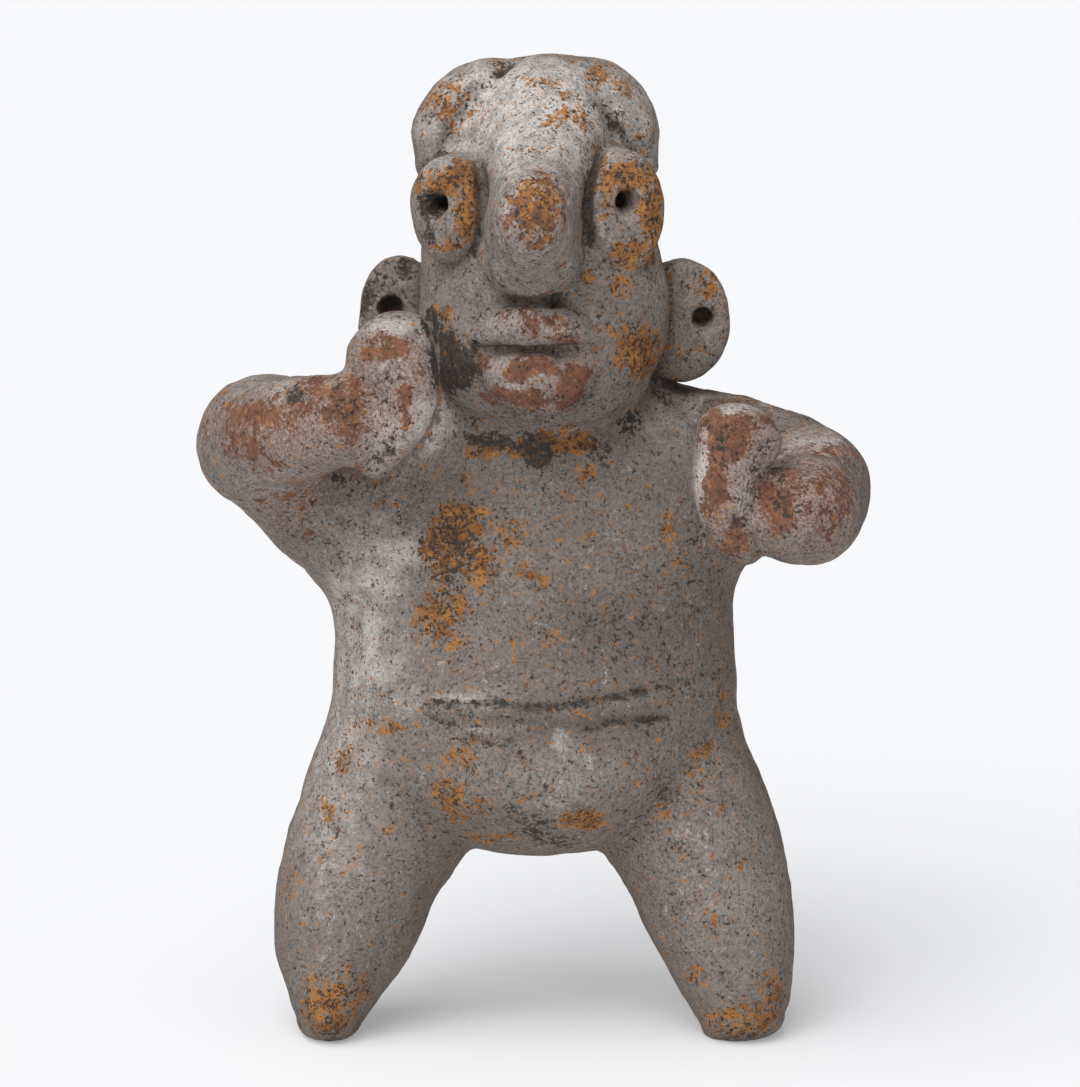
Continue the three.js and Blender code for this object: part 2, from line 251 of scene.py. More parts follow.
def head():
    """Neck, skull, the brow ridge, the beak nose, the muzzle, two lobes of hair and two ears."""
    neck = Roll([(0, 14, 590, 118, 92), (0, -20, 660, 98, 84), (0, -45, 720, 90, 80)], joint=50)
    skull = Roll([(2, -96, 692, 106, 82), (4, -80, 738, 124, 98), (0, -60, 796, 120, 104),
                  (-4, -44, 850, 112, 100), (-5, -28, 908, 98, 86), (0, -16, 945, 76, 68)],
                 caps=[56, 46], joint=14)
    ridge = Roll([(15, 30, 950, 46, 46), (10, -50, 942, 58, 52), (0, -118, 908, 58, 48),
                  (-5, -180, 880, 42, 40), (-7, -214, 868, 34, 34)], facing=UP, joint=24)
    snout = Roll([(-6, -90, 842, 48, 66), (-7, -165, 840, 46, 60), (-7, -222, 852, 40, 48),
                  (-7, -250, 860, 35, 39)], facing=UP, caps=[40, 28], joint=20)
    muzzle = Roll([(-7, -100, 806, 50, 36), (-7, -165, 806, 46, 32), (-7, -196, 808, 38, 30)],
                  facing=UP, caps=[30, 16], joint=18)
    hair = [
        Roll([(-106, -48, 895, 20, 38), (-99, -38, 926, 30, 46), (-78, -22, 953, 32, 56),
              (-54, -10, 966, 29, 58), (-40, 0, 970, 23, 46)], caps=[20, 20], joint=8),
        Roll([(106, -48, 891, 12, 32), (95, -40, 916, 24, 44), (80, -26, 946, 30, 54),
              (56, -10, 965, 29, 56), (34, 0, 970, 24, 46)], caps=[10, 22], joint=12),
    ]
    return [neck, skull, ridge, snout, muzzle, *hair, ear(-141, 738, 42), ear(141, 735, 48)]


EYES = [
    {"at": (-84, -122, 858), "wide": 38, "tall": 52, "thick": 40, "turn": -22, "hole": (-4, 4)},
    {"at": (78, -122, 854), "wide": 39, "tall": 61, "thick": 40, "turn": 20, "hole": (-4, 12)},
]
EYE_EDGE = 24
EAR_HOLES = [(-149, 748), (163, 738)]


def gaze(eye):
    """The way an eye looks, level and turned about the upright by its own angle."""
    turn = math.radians(eye["turn"])
    return np.array((math.sin(turn), -math.cos(turn), 0))


def pellet(eye):
    """A thick oval pellet with a rounded edge: a short roll lying along the eye's line of sight."""
    flat = [np.array(eye["at"]) + gaze(eye) * reach for reach in (-20, eye["thick"] - EYE_EDGE)]
    rows = [(*place, eye["wide"], eye["tall"]) for place in flat]
    return Roll(rows, facing=UP, caps=[20, EYE_EDGE], joint=6)


def features():
    """The two pellets of the eyes, and the two strips of the lips."""
    lips = [
        Roll([(-60, -158, 733, 9, 12), (-30, -176, 746, 19, 15), (-5, -182, 749, 22, 16),
              (25, -177, 747, 19, 15), (54, -160, 735, 9, 12)], caps=[10, 10], joint=5),
        Roll([(-60, -150, 706, 9, 14), (-32, -170, 695, 26, 20), (-3, -178, 690, 32, 23),
              (28, -171, 693, 26, 20), (55, -152, 704, 10, 14)], caps=[10, 10], joint=5),
    ]
    return [pellet(eye) for eye in EYES] + lips


def cuts():
    """The eyes' holes, pushed in along the line of sight, and the ears' holes, pushed straight back."""
    holes = []
    for eye in EYES:
        across, raised = eye["hole"]
        out = gaze(eye)
        aside = np.array((-out[1] * across, out[0] * across, raised))
        at = np.array(eye["at"]) + out * eye["thick"] + aside
        holes.append(stick_hole(at, -out, STICK, EYE_HOLE_DEEP, soft=5, flare=1.6))
    for x, z in EAR_HOLES:
        holes.append(stick_hole((x, EAR_FRONT, z), (0, 1, 0), STICK, EAR_HOLE_DEEP, soft=4))
    return holes


def whistle():
    """The spout, the chamber one wall inside the trunk, the sound window and the windway up to its sill.

    The trunk's back at the sill is where the trunk's field is 0 along a level ray from its axis.
    """
    outward = np.linspace(0, 200, 401)
    ray = np.stack([0 * outward, outward, 0 * outward + SILL], 1)
    back = np.interp(0, Roll(TRUNK, caps=TRUNK_CAPS).distance(ray), outward)
    spout = Roll([(0, 96, 352, 56, 46), (0, 166, 310, 44, 34), (*SPOUT_TIP, 38, 26)],
                 facing=UP, caps=[30, 8], joint=26)
    inner = [(x, y, z, wide - WALL, deep - WALL) for x, y, z, wide, deep in TRUNK[:-1]]
    chamber = Roll(inner, caps=[TRUNK_CAPS[0] - WALL, TRUNK_CAPS[1] / 2], joint=3, cut=True)
    window = Block((0, back - WALL / 2, SILL + WINDOW_TALL / 2), (WINDOW_WIDE / 2, WALL, WINDOW_TALL / 2))
    sill = np.array((0, back - SILL_DEPTH, SILL))
    run = SPOUT_TIP - sill
    length = np.linalg.norm(run) + PAST_TIP
    middle = sill + run / np.linalg.norm(run) * length / 2
    windway = Block(middle, (WINDWAY_WIDE / 2, length / 2, WINDWAY_TALL / 2), along=run)
    return [spout, chamber, window, windway]


def field_at(points, lumps):
    """The whole figure's field at some points: each lump is pressed on where its box holds the point."""
    field = np.full(len(points), FAR)
    for lump in lumps:
        near = np.all((points > lump.low) & (points < lump.high), axis=1)
        field[near] = press(field[near], lump, points[near])
    return np.maximum(field, SOLE - points[:, 2])


def field_on_grid(axes, lumps):
    """The same field on a grid, one block of it for each lump."""
    field = np.full([len(axis) for axis in axes], FAR)
    for lump in lumps:
        part = tuple(slice(*np.searchsorted(axis, (low, high)))
                     for axis, low, high in zip(axes, lump.low, lump.high))
        block = np.stack(np.meshgrid(*(axis[s] for axis, s in zip(axes, part)), indexing="ij"), -1)
        field[part] = press(field[part].ravel(), lump, block.reshape(-1, 3)).reshape(block.shape[:3])
    return np.maximum(field, SOLE - axes[2])


def surface_net(field, axes):
    """A closed quad mesh on the field's zero.

    Each grid cell that the surface crosses gets one point, the mean of the crossings on its twelve edges.
    Each grid edge that it crosses gets one quad, through the four cells round that edge.
    """
    inside = field < 0
    shape = np.array(field.shape) - 1
    filled = sum(inside[i:i + shape[0], j:j + shape[1], k:k + shape[2]].astype(np.int8)
                 for i in (0, 1) for j in (0, 1) for k in (0, 1))
    cells = np.argwhere((filled > 0) & (filled < 8))
    number = np.full(shape, -1)
    number[tuple(cells.T)] = np.arange(len(cells))
    total = np.zeros((len(cells), 3))
    count = np.zeros(len(cells))
    for axis in range(3):
        step = np.eye(3, dtype=int)[axis]
        across = np.delete(np.eye(3, dtype=int), axis, axis=0)
        for i, j in ((0, 0), (0, 1), (1, 0), (1, 1)):
            corner = i * across[0] + j * across[1]
            start = field[tuple((cells + corner).T)]
            end = field[tuple((cells + corner + step).T)]
            crossed = (start < 0) != (end < 0)
            share = np.where(crossed, start / np.where(crossed, start - end, 1), 0)
            total += np.where(crossed[:, None], corner + share[:, None] * step, 0)
            count += crossed
    spacing = np.array([axis[1] - axis[0] for axis in axes])
    points = np.array([axis[0] for axis in axes]) + (cells + total / count[:, None]) * spacing
    quads = []
    for axis in range(3):
        low = [slice(1, -1)] * 3
        low[axis] = slice(0, -1)
        high = list(low)
        high[axis] = slice(1, None)
        one, two = inside[tuple(low)], inside[tuple(high)]
        step1, step2 = (np.eye(3, dtype=int)[(axis + n) % 3] for n in (1, 2))
        for crossing, turn in ((one & ~two, 1), (two & ~one, -1)):
            edge = np.argwhere(crossing) + [part.start for part in low]
            ring = [edge - step1 - step2, edge - step2, edge, edge - step1][::turn]
            quads.append(np.stack([number[tuple(cell.T)] for cell in ring], 1))
    return points, np.concatenate(quads)


def slope_at(points, lumps, step=1.2):
    """The field and its gradient at some points, by differences over two steps along each axis."""
    ahead = np.stack([field_at(points + step * axis, lumps) for axis in np.eye(3)], 1)
    behind = np.stack([field_at(points - step * axis, lumps) for axis in np.eye(3)], 1)
    return field_at(points, lumps), (ahead - behind) / (2 * step)


# The photograph's camera, in u

CAMERA_RISE = math.radians(9)
CAMERA_AWAY = 5500.0
AIM = np.array((0, 0, 504.37))
PHOTO_WIDE, PHOTO_TALL = 1080, 1087
PIXELS_PER_TAN = 5436.84
SENSOR = 36
SIGHT = np.array((0, math.cos(CAMERA_RISE), -math.sin(CAMERA_RISE)))
CAMERA_UP = np.array((0, math.sin(CAMERA_RISE), math.cos(CAMERA_RISE)))
# A square cell's side in pixels, the cells counted to a row, how far behind the nearest point counts as
# hidden in u, and how squarely clay has to face the camera to count in full
CELL = 8
CELL_ROW = 4096
HIDDEN_BEHIND = 20
SLANT = 0.35


def photo_place(points):
    """The pixel of the photograph where each point shows, and its distance along the line of sight."""
    offset = points - (AIM - SIGHT * CAMERA_AWAY)
    away = offset @ SIGHT
    x = PHOTO_WIDE / 2 + PIXELS_PER_TAN * offset[:, 0] / away
    y = PHOTO_TALL / 2 - PIXELS_PER_TAN * (offset @ CAMERA_UP) / away
    return np.stack([x, y], 1), away


def seen_share(pixel, away, normal):
    """1 where a point shows in the photograph, fading to 0 as its surface turns edge on.

    A point is hidden when it lies more than 20 u behind the nearest point in its own cell of pixels.
    """
    cell = (pixel // CELL).astype(int) @ (1, CELL_ROW)
    order = np.lexsort((away, cell))
    first = np.searchsorted(cell[order], cell)
    nearest = away[order][first]
    facing = np.clip(-(normal @ SIGHT) / SLANT, 0, 1)
    return np.where(away < nearest + HIDDEN_BEHIND, facing * facing * (3 - 2 * facing), 0)


# Random fields

def random_at(cells, seed):
    """A fixed random value from -1 to 1 for each whole-numbered cell, by multiplying and mixing its bits."""
    mixed = cells.astype(np.int64) @ np.array((374761393, 668265263, 1274126177)) + seed * 362437
    mixed = mixed.astype(np.uint32)
    mixed = (mixed ^ (mixed >> 13)) * np.uint32(1274126177)
    return (mixed ^ (mixed >> 16)) / 2.0 ** 31 - 1


def cloud(points, size, seed):
    """Smooth random values from -1 to 1, eased between the values at cell corners by w^2 (3 - 2 w)."""
    scaled = points / size
    cell = np.floor(scaled).astype(int)
    w = scaled - cell
    w = w * w * (3 - 2 * w)
    total = np.zeros(len(points))
    for corner in np.ndindex(2, 2, 2):
        share = np.prod(np.where(corner, w, 1 - w), axis=1)
        total += share * random_at(cell + corner, seed)
    return total


def clouds(points, size, seed):
    """Three clouds, each half the size and half the weight of the one before, over all their weight."""
    return sum(cloud(points, size / 2 ** i, seed + i) / 2 ** i for i in range(3)) / 1.75


# Marks read off the photograph, in its pixels

# Scored lines and creases: half width in pixels, depth in u, then the pixels along the line
STROKES = [
    (4.5, 4.8, (426, 704), (496, 703), (520, 707), (566, 706), (606, 698), (646, 691)),
    (4.5, 2.2, (646, 691), (690, 681), (738, 669)),
    (4.5, 2.8, (431, 715), (471, 737), (496, 746), (520, 740)),
    (4.5, 4.4, (588, 729), (624, 721), (667, 720)),
    (4, -0.8, (373, 688), (428, 700)),
    (14, 1.6, (447, 845), (425, 820), (395, 790)),
    (14, 1.6, (619, 850), (640, 825), (668, 795)),
    (12, 1.6, (738, 690), (715, 735), (668, 795)),
    (4, 1.4, (474, 349), (500, 347), (540, 350), (597, 349)),
    (5, 1.8, (470, 345), (478, 322), (505, 306), (540, 301), (575, 307), (600, 330)),
    (5, 2.0, (472, 358), (485, 388), (515, 411), (550, 416), (580, 403), (600, 372)),
    (4.5, 4.5, (516, 58), (499, 71)),
    (4.5, 2.6, (499, 71), (470, 100), (450, 130), (440, 152)),
    (5, 2.8, (590, 62), (600, 99), (613, 125), (630, 149)),
    (5, 3.0, (487, 180), (487, 235), (491, 283)),
    (5, 3.0, (586, 175), (584, 236), (584, 278)),
    (11, 2.6, (385, 385), (392, 430), (380, 462)),
    (11, 2.6, (768, 440), (755, 475), (744, 505), (738, 540)),
    (3, 1.2, (783, 452), (808, 443), (838, 441)),
    (3, 1.2, (784, 455), (815, 452), (852, 464)),
    (3, 1.2, (786, 460), (812, 464), (845, 480)),
    (3, 1.0, (788, 466), (805, 474), (828, 492)),
]

# Pits and, with a depth below 0, bumps: x, y, radius in pixels, depth in u
PITS = [
    (553, 301, 6, 4), (475, 346, 5, 3), (559, 356, 5, 3), (262, 448, 4, 3), (343, 471, 5, 3),
    (391, 454, 5, 3), (781, 537, 5, 4), (762, 556, 6, 3), (812, 469, 4, 2.5), (388, 303, 7, 5),
    (405, 268, 10, 5), (501, 71, 5, 4), (584, 232, 6, 3), (584, 252, 5, 2), (758, 469, 8, 2),
    (471, 271, 7, 2), (672, 258, 4, 3), (407, 233, 6, -4), (430, 322, 8, 2.5), (452, 372, 9, 2.5),
    (613, 124, 8, 2), (372, 290, 7, 3), (545, 497, 3, 1.5),
]

# Patches of coloured layers: x, y, half width and half height in pixels, and strength
OCHRE = [
    (450, 104, 34, 34, 0.8), (424, 104, 14, 34, 0.7), (500, 66, 14, 10, 0.9), (538, 84, 20, 10, 0.8),
    (562, 94, 12, 10, 0.8), (556, 118, 26, 12, 0.8), (581, 122, 12, 22, 0.8), (530, 150, 34, 5, 0.5),
    (597, 147, 12, 10, 0.6), (604, 74, 22, 14, 1.0), (622, 94, 14, 18, 0.9), (637, 137, 10, 22, 0.8),
    (576, 56, 12, 5, 0.8), (652, 120, 8, 34, 0.5), (454, 178, 30, 18, 1.3), (468, 212, 15, 42, 1.4),
    (450, 245, 24, 11, 1.1), (426, 186, 11, 24, 1.0), (626, 174, 36, 24, 1.4), (650, 212, 16, 48, 1.4),
    (606, 196, 12, 36, 0.9), (630, 250, 26, 20, 1.2), (536, 208, 36, 38, 0.8), (536, 190, 28, 20, 0.9),
    (592, 271, 14, 12, 0.9), (624, 284, 14, 16, 0.9), (575, 292, 20, 8, 0.5), (655, 270, 14, 12, 0.5),
    (635, 352, 34, 32, 1.2), (612, 330, 16, 14, 0.6), (447, 317, 17, 12, 0.9), (440, 345, 10, 20, 0.5),
    (708, 284, 24, 30, 0.8), (676, 350, 14, 10, 0.7), (700, 350, 26, 8, 0.5), (481, 449, 20, 14, 1.0),
    (566, 440, 34, 14, 1.2), (520, 450, 40, 14, 0.7), (583, 468, 12, 14, 0.7), (463, 476, 10, 12, 0.6),
    (457, 528, 36, 32, 1.3), (442, 556, 26, 24, 1.0), (481, 564, 28, 26, 1.1), (512, 534, 22, 26, 0.6),
    (532, 573, 18, 12, 0.8), (442, 616, 30, 38, 1.2), (460, 640, 18, 18, 0.7), (517, 640, 10, 10, 0.6),
    (542, 634, 9, 10, 0.6), (520, 668, 10, 7, 0.4), (662, 530, 10, 26, 0.5), (676, 566, 14, 20, 0.6),
    (460, 756, 22, 14, 0.9), (474, 760, 10, 16, 0.8), (387, 727, 28, 8, 0.8), (348, 762, 12, 16, 0.8),
    (333, 808, 14, 16, 0.7), (387, 826, 9, 12, 0.8), (452, 800, 20, 26, 1.0), (482, 806, 16, 12, 0.7),
    (528, 796, 16, 7, 0.7), (548, 788, 9, 9, 0.7), (584, 822, 30, 14, 1.2), (500, 838, 40, 7, 0.8),
    (720, 700, 10, 20, 0.8), (729, 722, 9, 14, 0.8), (702, 752, 14, 12, 0.9), (700, 780, 10, 26, 0.5),
    (664, 806, 12, 16, 0.5), (716, 804, 10, 9, 0.6), (683, 852, 16, 12, 0.8), (714, 910, 6, 34, 0.8),
    (702, 900, 5, 30, 0.5), (728, 925, 12, 5, 0.6), (700, 975, 16, 18, 0.8), (740, 1018, 44, 22, 1.0),
    (772, 990, 16, 30, 0.8), (345, 975, 12, 16, 0.7), (330, 1010, 36, 26, 1.1), (310, 985, 12, 14, 0.6),
    (366, 992, 10, 20, 0.7), (348, 497, 7, 7, 0.9), (380, 505, 22, 8, 0.4), (343, 540, 16, 10, 0.4),
    (290, 880, 8, 26, 0.35), (740, 860, 14, 10, 0.4), (760, 930, 8, 20, 0.4),
]
# Soot stains, with painted shade under the chin, down the torso's right side and along the bottoms of the feet
SOOT_AND_PAINTED_SHADE = [
    (386, 285, 32, 36, 0.38), (388, 303, 10, 8, 1.2), (364, 296, 9, 30, 1.1), (405, 262, 12, 18, 0.9),
    (431, 325, 15, 18, 1.8), (455, 372, 28, 26, 1.9), (440, 352, 18, 28, 1.8), (471, 271, 10, 10, 0.7),
    (434, 204, 18, 28, 1.1), (430, 228, 14, 16, 0.8), (485, 225, 5, 30, 1.0), (476, 256, 14, 8, 0.8),
    (584, 238, 7, 22, 0.9), (613, 124, 12, 18, 0.6), (501, 68, 6, 8, 1.0), (597, 100, 10, 12, 0.4),
    (493, 439, 28, 12, 1.6), (536, 452, 22, 14, 1.8), (545, 444, 70, 13, 0.85), (452, 545, 34, 50, 0.85),
    (626, 418, 20, 18, 0.8), (600, 452, 14, 16, 0.6), (442, 616, 24, 30, 0.45), (330, 1005, 26, 22, 0.4),
    (785, 505, 26, 34, 0.5), (718, 448, 24, 34, 0.5), (348, 412, 24, 28, 0.42), (390, 385, 12, 34, 0.42),
    (470, 424, 14, 8, 0.6), (660, 392, 20, 12, 0.6), (536, 826, 30, 16, 0.65), (516, 816, 12, 12, 0.6),
    (556, 842, 24, 8, 0.6), (297, 397, 14, 9, 1.1), (345, 480, 34, 10, 0.6), (445, 605, 14, 8, 0.7),
    (781, 537, 8, 4, 1.2), (742, 1034, 26, 8, 0.8), (334, 1030, 20, 8, 0.8), (683, 852, 8, 7, 0.8),
    (590, 628, 40, 26, 0.3), (640, 640, 50, 60, 0.3), (704, 540, 22, 20, 0.5), (703, 320, 8, 8, 0.9),
    (690, 690, 40, 10, 0.4), (480, 725, 40, 14, 0.35), (625, 722, 34, 7, 0.5), (700, 590, 30, 40, 0.3),
]
CHALK = [
    (430, 424, 24, 26, 1.0), (405, 555, 24, 22, 0.9), (384, 582, 14, 16, 0.8), (563, 746, 14, 20, 0.9),
    (590, 756, 14, 12, 0.8), (460, 702, 40, 5, 1.0), (482, 734, 20, 4, 0.8), (342, 610, 14, 50, 0.7),
    (527, 66, 30, 14, 0.8), (514, 160, 24, 20, 0.8), (538, 128, 30, 16, 0.6), (495, 130, 26, 26, 0.5),
    (434, 168, 14, 7, 0.8), (629, 197, 13, 12, 1.1), (597, 222, 8, 24, 0.7), (612, 236, 16, 10, 0.6),
    (455, 224, 8, 12, 0.8), (389, 324, 40, 8, 1.0), (390, 372, 28, 22, 0.35), (384, 440, 20, 28, 0.45),
    (340, 375, 20, 8, 0.8), (262, 380, 30, 6, 0.7), (700, 470, 5, 60, 1.0), (745, 500, 12, 36, 0.8),
    (776, 460, 16, 16, 0.7), (720, 408, 24, 6, 0.8), (820, 446, 34, 8, 0.8), (530, 354, 50, 8, 0.6),
    (520, 380, 40, 20, 0.5), (540, 306, 34, 5, 0.6), (373, 694, 50, 4, 0.5), (395, 690, 30, 30, 0.4),
    (560, 800, 30, 24, 0.4), (320, 880, 22, 60, 0.4), (360, 640, 24, 60, 0.4), (540, 250, 30, 20, 0.4),
    (505, 220, 9, 60, 0.6), (571, 220, 7, 60, 0.6), (350, 700, 20, 70, 0.4), (700, 860, 30, 60, 0.3),
]
SLIP = [
    (265, 414, 52, 30, 1.0), (240, 430, 34, 44, 0.9), (350, 412, 30, 38, 1.3), (318, 392, 24, 20, 0.9),
    (386, 344, 34, 18, 1.1), (406, 398, 9, 34, 1.0), (419, 372, 6, 20, 0.9), (364, 474, 14, 12, 0.9),
    (285, 500, 50, 24, 0.5), (270, 470, 34, 20, 0.5), (320, 530, 34, 16, 0.5), (724, 434, 30, 32, 2.0),
    (716, 484, 13, 42, 1.8), (736, 540, 16, 22, 1.1), (730, 500, 14, 14, 0.7), (766, 422, 12, 12, 0.9),
    (779, 508, 28, 36, 1.3), (794, 482, 16, 20, 0.9), (830, 500, 30, 44, 0.8), (850, 480, 16, 44, 0.8),
    (820, 452, 34, 8, 0.7), (535, 322, 58, 18, 0.75), (556, 338, 40, 8, 0.9), (479, 366, 10, 16, 1.0),
    (530, 370, 36, 15, 1.4), (572, 384, 24, 28, 1.4), (520, 398, 38, 16, 1.4), (628, 256, 16, 12, 0.7),
    (592, 274, 14, 12, 0.6), (534, 212, 38, 42, 1.2), (702, 540, 14, 20, 0.5),
]
PINK = [
    (290, 420, 90, 60, 1.0), (390, 390, 55, 90, 1.2), (745, 480, 60, 90, 1.2), (820, 490, 60, 80, 1.1),
    (535, 360, 80, 60, 0.6), (300, 490, 70, 50, 0.6), (540, 60, 80, 30, 0.3),
]

# Lighter crust, and darker where the strength is below 0: partly the crust's own paler and darker tone, partly
# painted light on the head's top, the hands' tops, the arms' undersides and the left flank, and painted shade
# down the torso's right side
TONE_AND_PAINTED_LIGHT = [
    (530, 110, 120, 70, 1.0), (540, 215, 60, 60, 0.25), (365, 620, 40, 110, 0.6), (335, 780, 40, 110, 0.45),
    (740, 880, 60, 110, 0.15), (590, 625, 60, 34, -0.35), (650, 650, 80, 60, -0.25), (660, 425, 40, 30, 0.3),
    (545, 722, 90, 12, -0.6), (560, 775, 60, 34, 0.2), (430, 424, 26, 26, 0.6), (405, 555, 26, 24, 0.5),
    (384, 582, 16, 18, 0.3), (270, 378, 60, 12, 0.5), (388, 325, 50, 12, 0.4), (704, 470, 9, 60, 0.6),
    (745, 404, 40, 10, 0.5), (820, 446, 44, 12, 0.4), (500, 340, 120, 70, 0.15), (700, 590, 40, 60, -0.2),
    (460, 700, 40, 6, 0.6), (480, 735, 24, 5, 0.4), (515, 600, 60, 60, 0.1), (660, 250, 30, 40, 0.3),
    (705, 300, 30, 60, 0.25), (384, 440, 24, 28, 0.15), (268, 484, 44, 24, 0.2), (745, 488, 12, 30, 0.2),
    (836, 502, 26, 30, 0.15), (530, 322, 50, 14, 0.25), (745, 505, 12, 34, 0.2), (430, 250, 40, 20, 0.2),
]


# Each layer's patches, its strength on the sides that the photograph doesn't show, and a seed for it there
LAYERS = {
    "ochre": (OCHRE, 1.0, 20),
    "soot_and_shade": (SOOT_AND_PAINTED_SHADE, 0.7, 30),
    "chalk": (CHALK, 0.9, 40),
    "slip": (SLIP, 0.9, 50),
    "pink": (PINK, 0.8, 60),
}
# Every patch counts at this share of its strength
PATCH_STRENGTH = 0.9

# How far the edges of patches and strokes stray from their marks, in pixels, and over what distance in u
PATCH_STRAY, PATCH_STRAY_SIZE = 9, 26
STROKE_STRAY, STROKE_STRAY_SIZE = 2, 14

# Painted shade laid as soot in the strokes for each u of depth, and the depth in u that would count as wholly
# hollow for the dirt and painted shade
PAINTED_SHADE_IN_STROKES = 0.17
HOLLOW_STROKE = 5

# Unevenness left by the fingers: height and size in u, and a seed, fading out this far above the soles
FINGER_MARKS = [(2.6, 75, 3), (1.5, 30, 5), (0.8, 12, 7)]
SOLE_FADE = 8


def stroke_depths(pixel):
    """How deep the strokes press at each pixel: depth times exp(-(distance / half width)^2), summed."""
    depth = np.zeros(len(pixel))
    for half, deep, *line in STROKES:
        nearest = np.full(len(pixel), np.inf)
        for start, end in zip(np.array(line[:-1], float), np.array(line[1:], float)):
            run = end - start
            share = np.clip((pixel - start) @ run / (run @ run), 0, 1)
            nearest = np.minimum(nearest, np.linalg.norm(pixel - start - share[:, None] * run, axis=1))
        depth += deep * np.exp(-(nearest / half) ** 2)
    for x, y, radius, deep in PITS:
        depth += deep * np.exp(-(np.linalg.norm(pixel - (x, y), axis=1) / radius) ** 2)
    return depth


def spots(pixel, marks):
    """The greatest of strength times (1.15 - squared offset in half sizes), at least 0."""
    value = np.zeros(len(pixel))
    for x, y, wide, tall, strength in marks:
        offset = ((pixel[:, 0] - x) / wide) ** 2 + ((pixel[:, 1] - y) / tall) ** 2
        value = np.maximum(value, strength * (1.15 - offset))
    return value


def tints(pixel, marks):
    """The sum of each mark's strength times exp(-squared offset in half sizes)."""
    value = np.zeros(len(pixel))
    for x, y, wide, tall, strength in marks:
        value += strength * np.exp(-((pixel[:, 0] - x) / wide) ** 2 - ((pixel[:, 1] - y) / tall) ** 2)
    return value


def relief(points, strokes):
    """Height along the normal, in u: the fingers' unevenness, less the strokes that the photo shows."""
    fingers = sum(tall * cloud(points, size, seed) for tall, size, seed in FINGER_MARKS)
    above_sole = np.clip((points[:, 2] - SOLE) / SOLE_FADE, 0, 1)
    return (fingers - strokes) * above_sole


def stray(points, amount, size, seed):
    """A wavering shift of each point's pixel, across and down, of at most the amount."""
    return amount * np.stack([cloud(points, size, seed), cloud(points, size, seed + 2)], 1)


def stains(points, pixel, seen, strokes):
    """Each layer's amount at each point: the photo's patches where it sees, and broad clouds where it can't.

    A cloud counts by how far it rises above a sixth, so it leaves bare clay between its patches. Ochre also
    thickens and thins everywhere, a little.
    """
    place = pixel + stray(points, PATCH_STRAY, PATCH_STRAY_SIZE, 11)
    layers = {}
    for name, (marks, unseen, seed) in LAYERS.items():
        patchy = np.clip(clouds(points, 110, seed) * 1.6 - 0.25, 0, 1)
        layers[name] = seen * PATCH_STRENGTH * spots(place, marks) + (1 - seen) * unseen * patchy
    layers["ochre"] += 0.12 * cloud(points, 60, 80) - 0.04
    # Painted shade in the strokes, as soot that deepens with their depth
    layers["soot_and_shade"] = np.maximum(layers["soot_and_shade"], PAINTED_SHADE_IN_STROKES * strokes)
    # Painted light and shade, with the crust's own tone, from the marks where they are seen; random tone
    # elsewhere
    layers["tone_and_painted_light"] = seen * tints(place, TONE_AND_PAINTED_LIGHT) + (1 - seen) * 0.5 * cloud(points, 160, 70)
    return layers


def mesh_object(name, points, quads):
    """An object at the origin whose mesh has these points in metres and these quads."""
    mesh = bpy.data.meshes.new(name)
    mesh.vertices.add(len(points))
    mesh.vertices.foreach_set("co", points.astype(np.float32).ravel())
    mesh.loops.add(quads.size)
    mesh.loops.foreach_set("vertex_index", quads.astype(np.int32).ravel())
    mesh.polygons.add(len(quads))
    mesh.polygons.foreach_set("loop_start", np.arange(0, quads.size, 4, dtype=np.int32))
    mesh.update(calc_edges=True)
    mesh.validate()
    mesh.shade_smooth()
    thing = bpy.data.objects.new(name, mesh)
    bpy.context.scene.collection.objects.link(thing)
    return thing


# The mesh

GRID = 5.1
LUMPS = [Roll(TRUNK, caps=TRUNK_CAPS), *limbs(), *head(), *features(), *whistle(), *cuts()]
# How far in front of the surface clay makes it a hollow, in u, and the least squared slope to divide by
HOLLOW_REACH = 11.0
LEAST_SLOPE = 0.2


def smooth_form():
    """Points and quads on the field's zero, the outward direction at each point, and how hollow it is there.

    Each point moves twice by minus the field over its slope. Hollow is 1 - (field reach ahead) / reach.
    """
    low = np.min([lump.low for lump in LUMPS], 0)
    high = np.max([lump.high for lump in LUMPS], 0)
    axes = [np.arange(a, b, GRID) for a, b in zip(low, high)]
    points, quads = surface_net(field_on_grid(axes, LUMPS), axes)
    for _ in range(2):
        field, slope = slope_at(points, LUMPS)
        step = np.clip(field, -GRID, GRID) / np.maximum((slope ** 2).sum(1), LEAST_SLOPE)
        points -= step[:, None] * slope
    normal = slope / np.linalg.norm(slope, axis=1, keepdims=True)
    ahead = field_at(points + HOLLOW_REACH * normal, LUMPS)
    return points, quads, normal, np.clip(1 - ahead / HOLLOW_REACH, 0, 1)


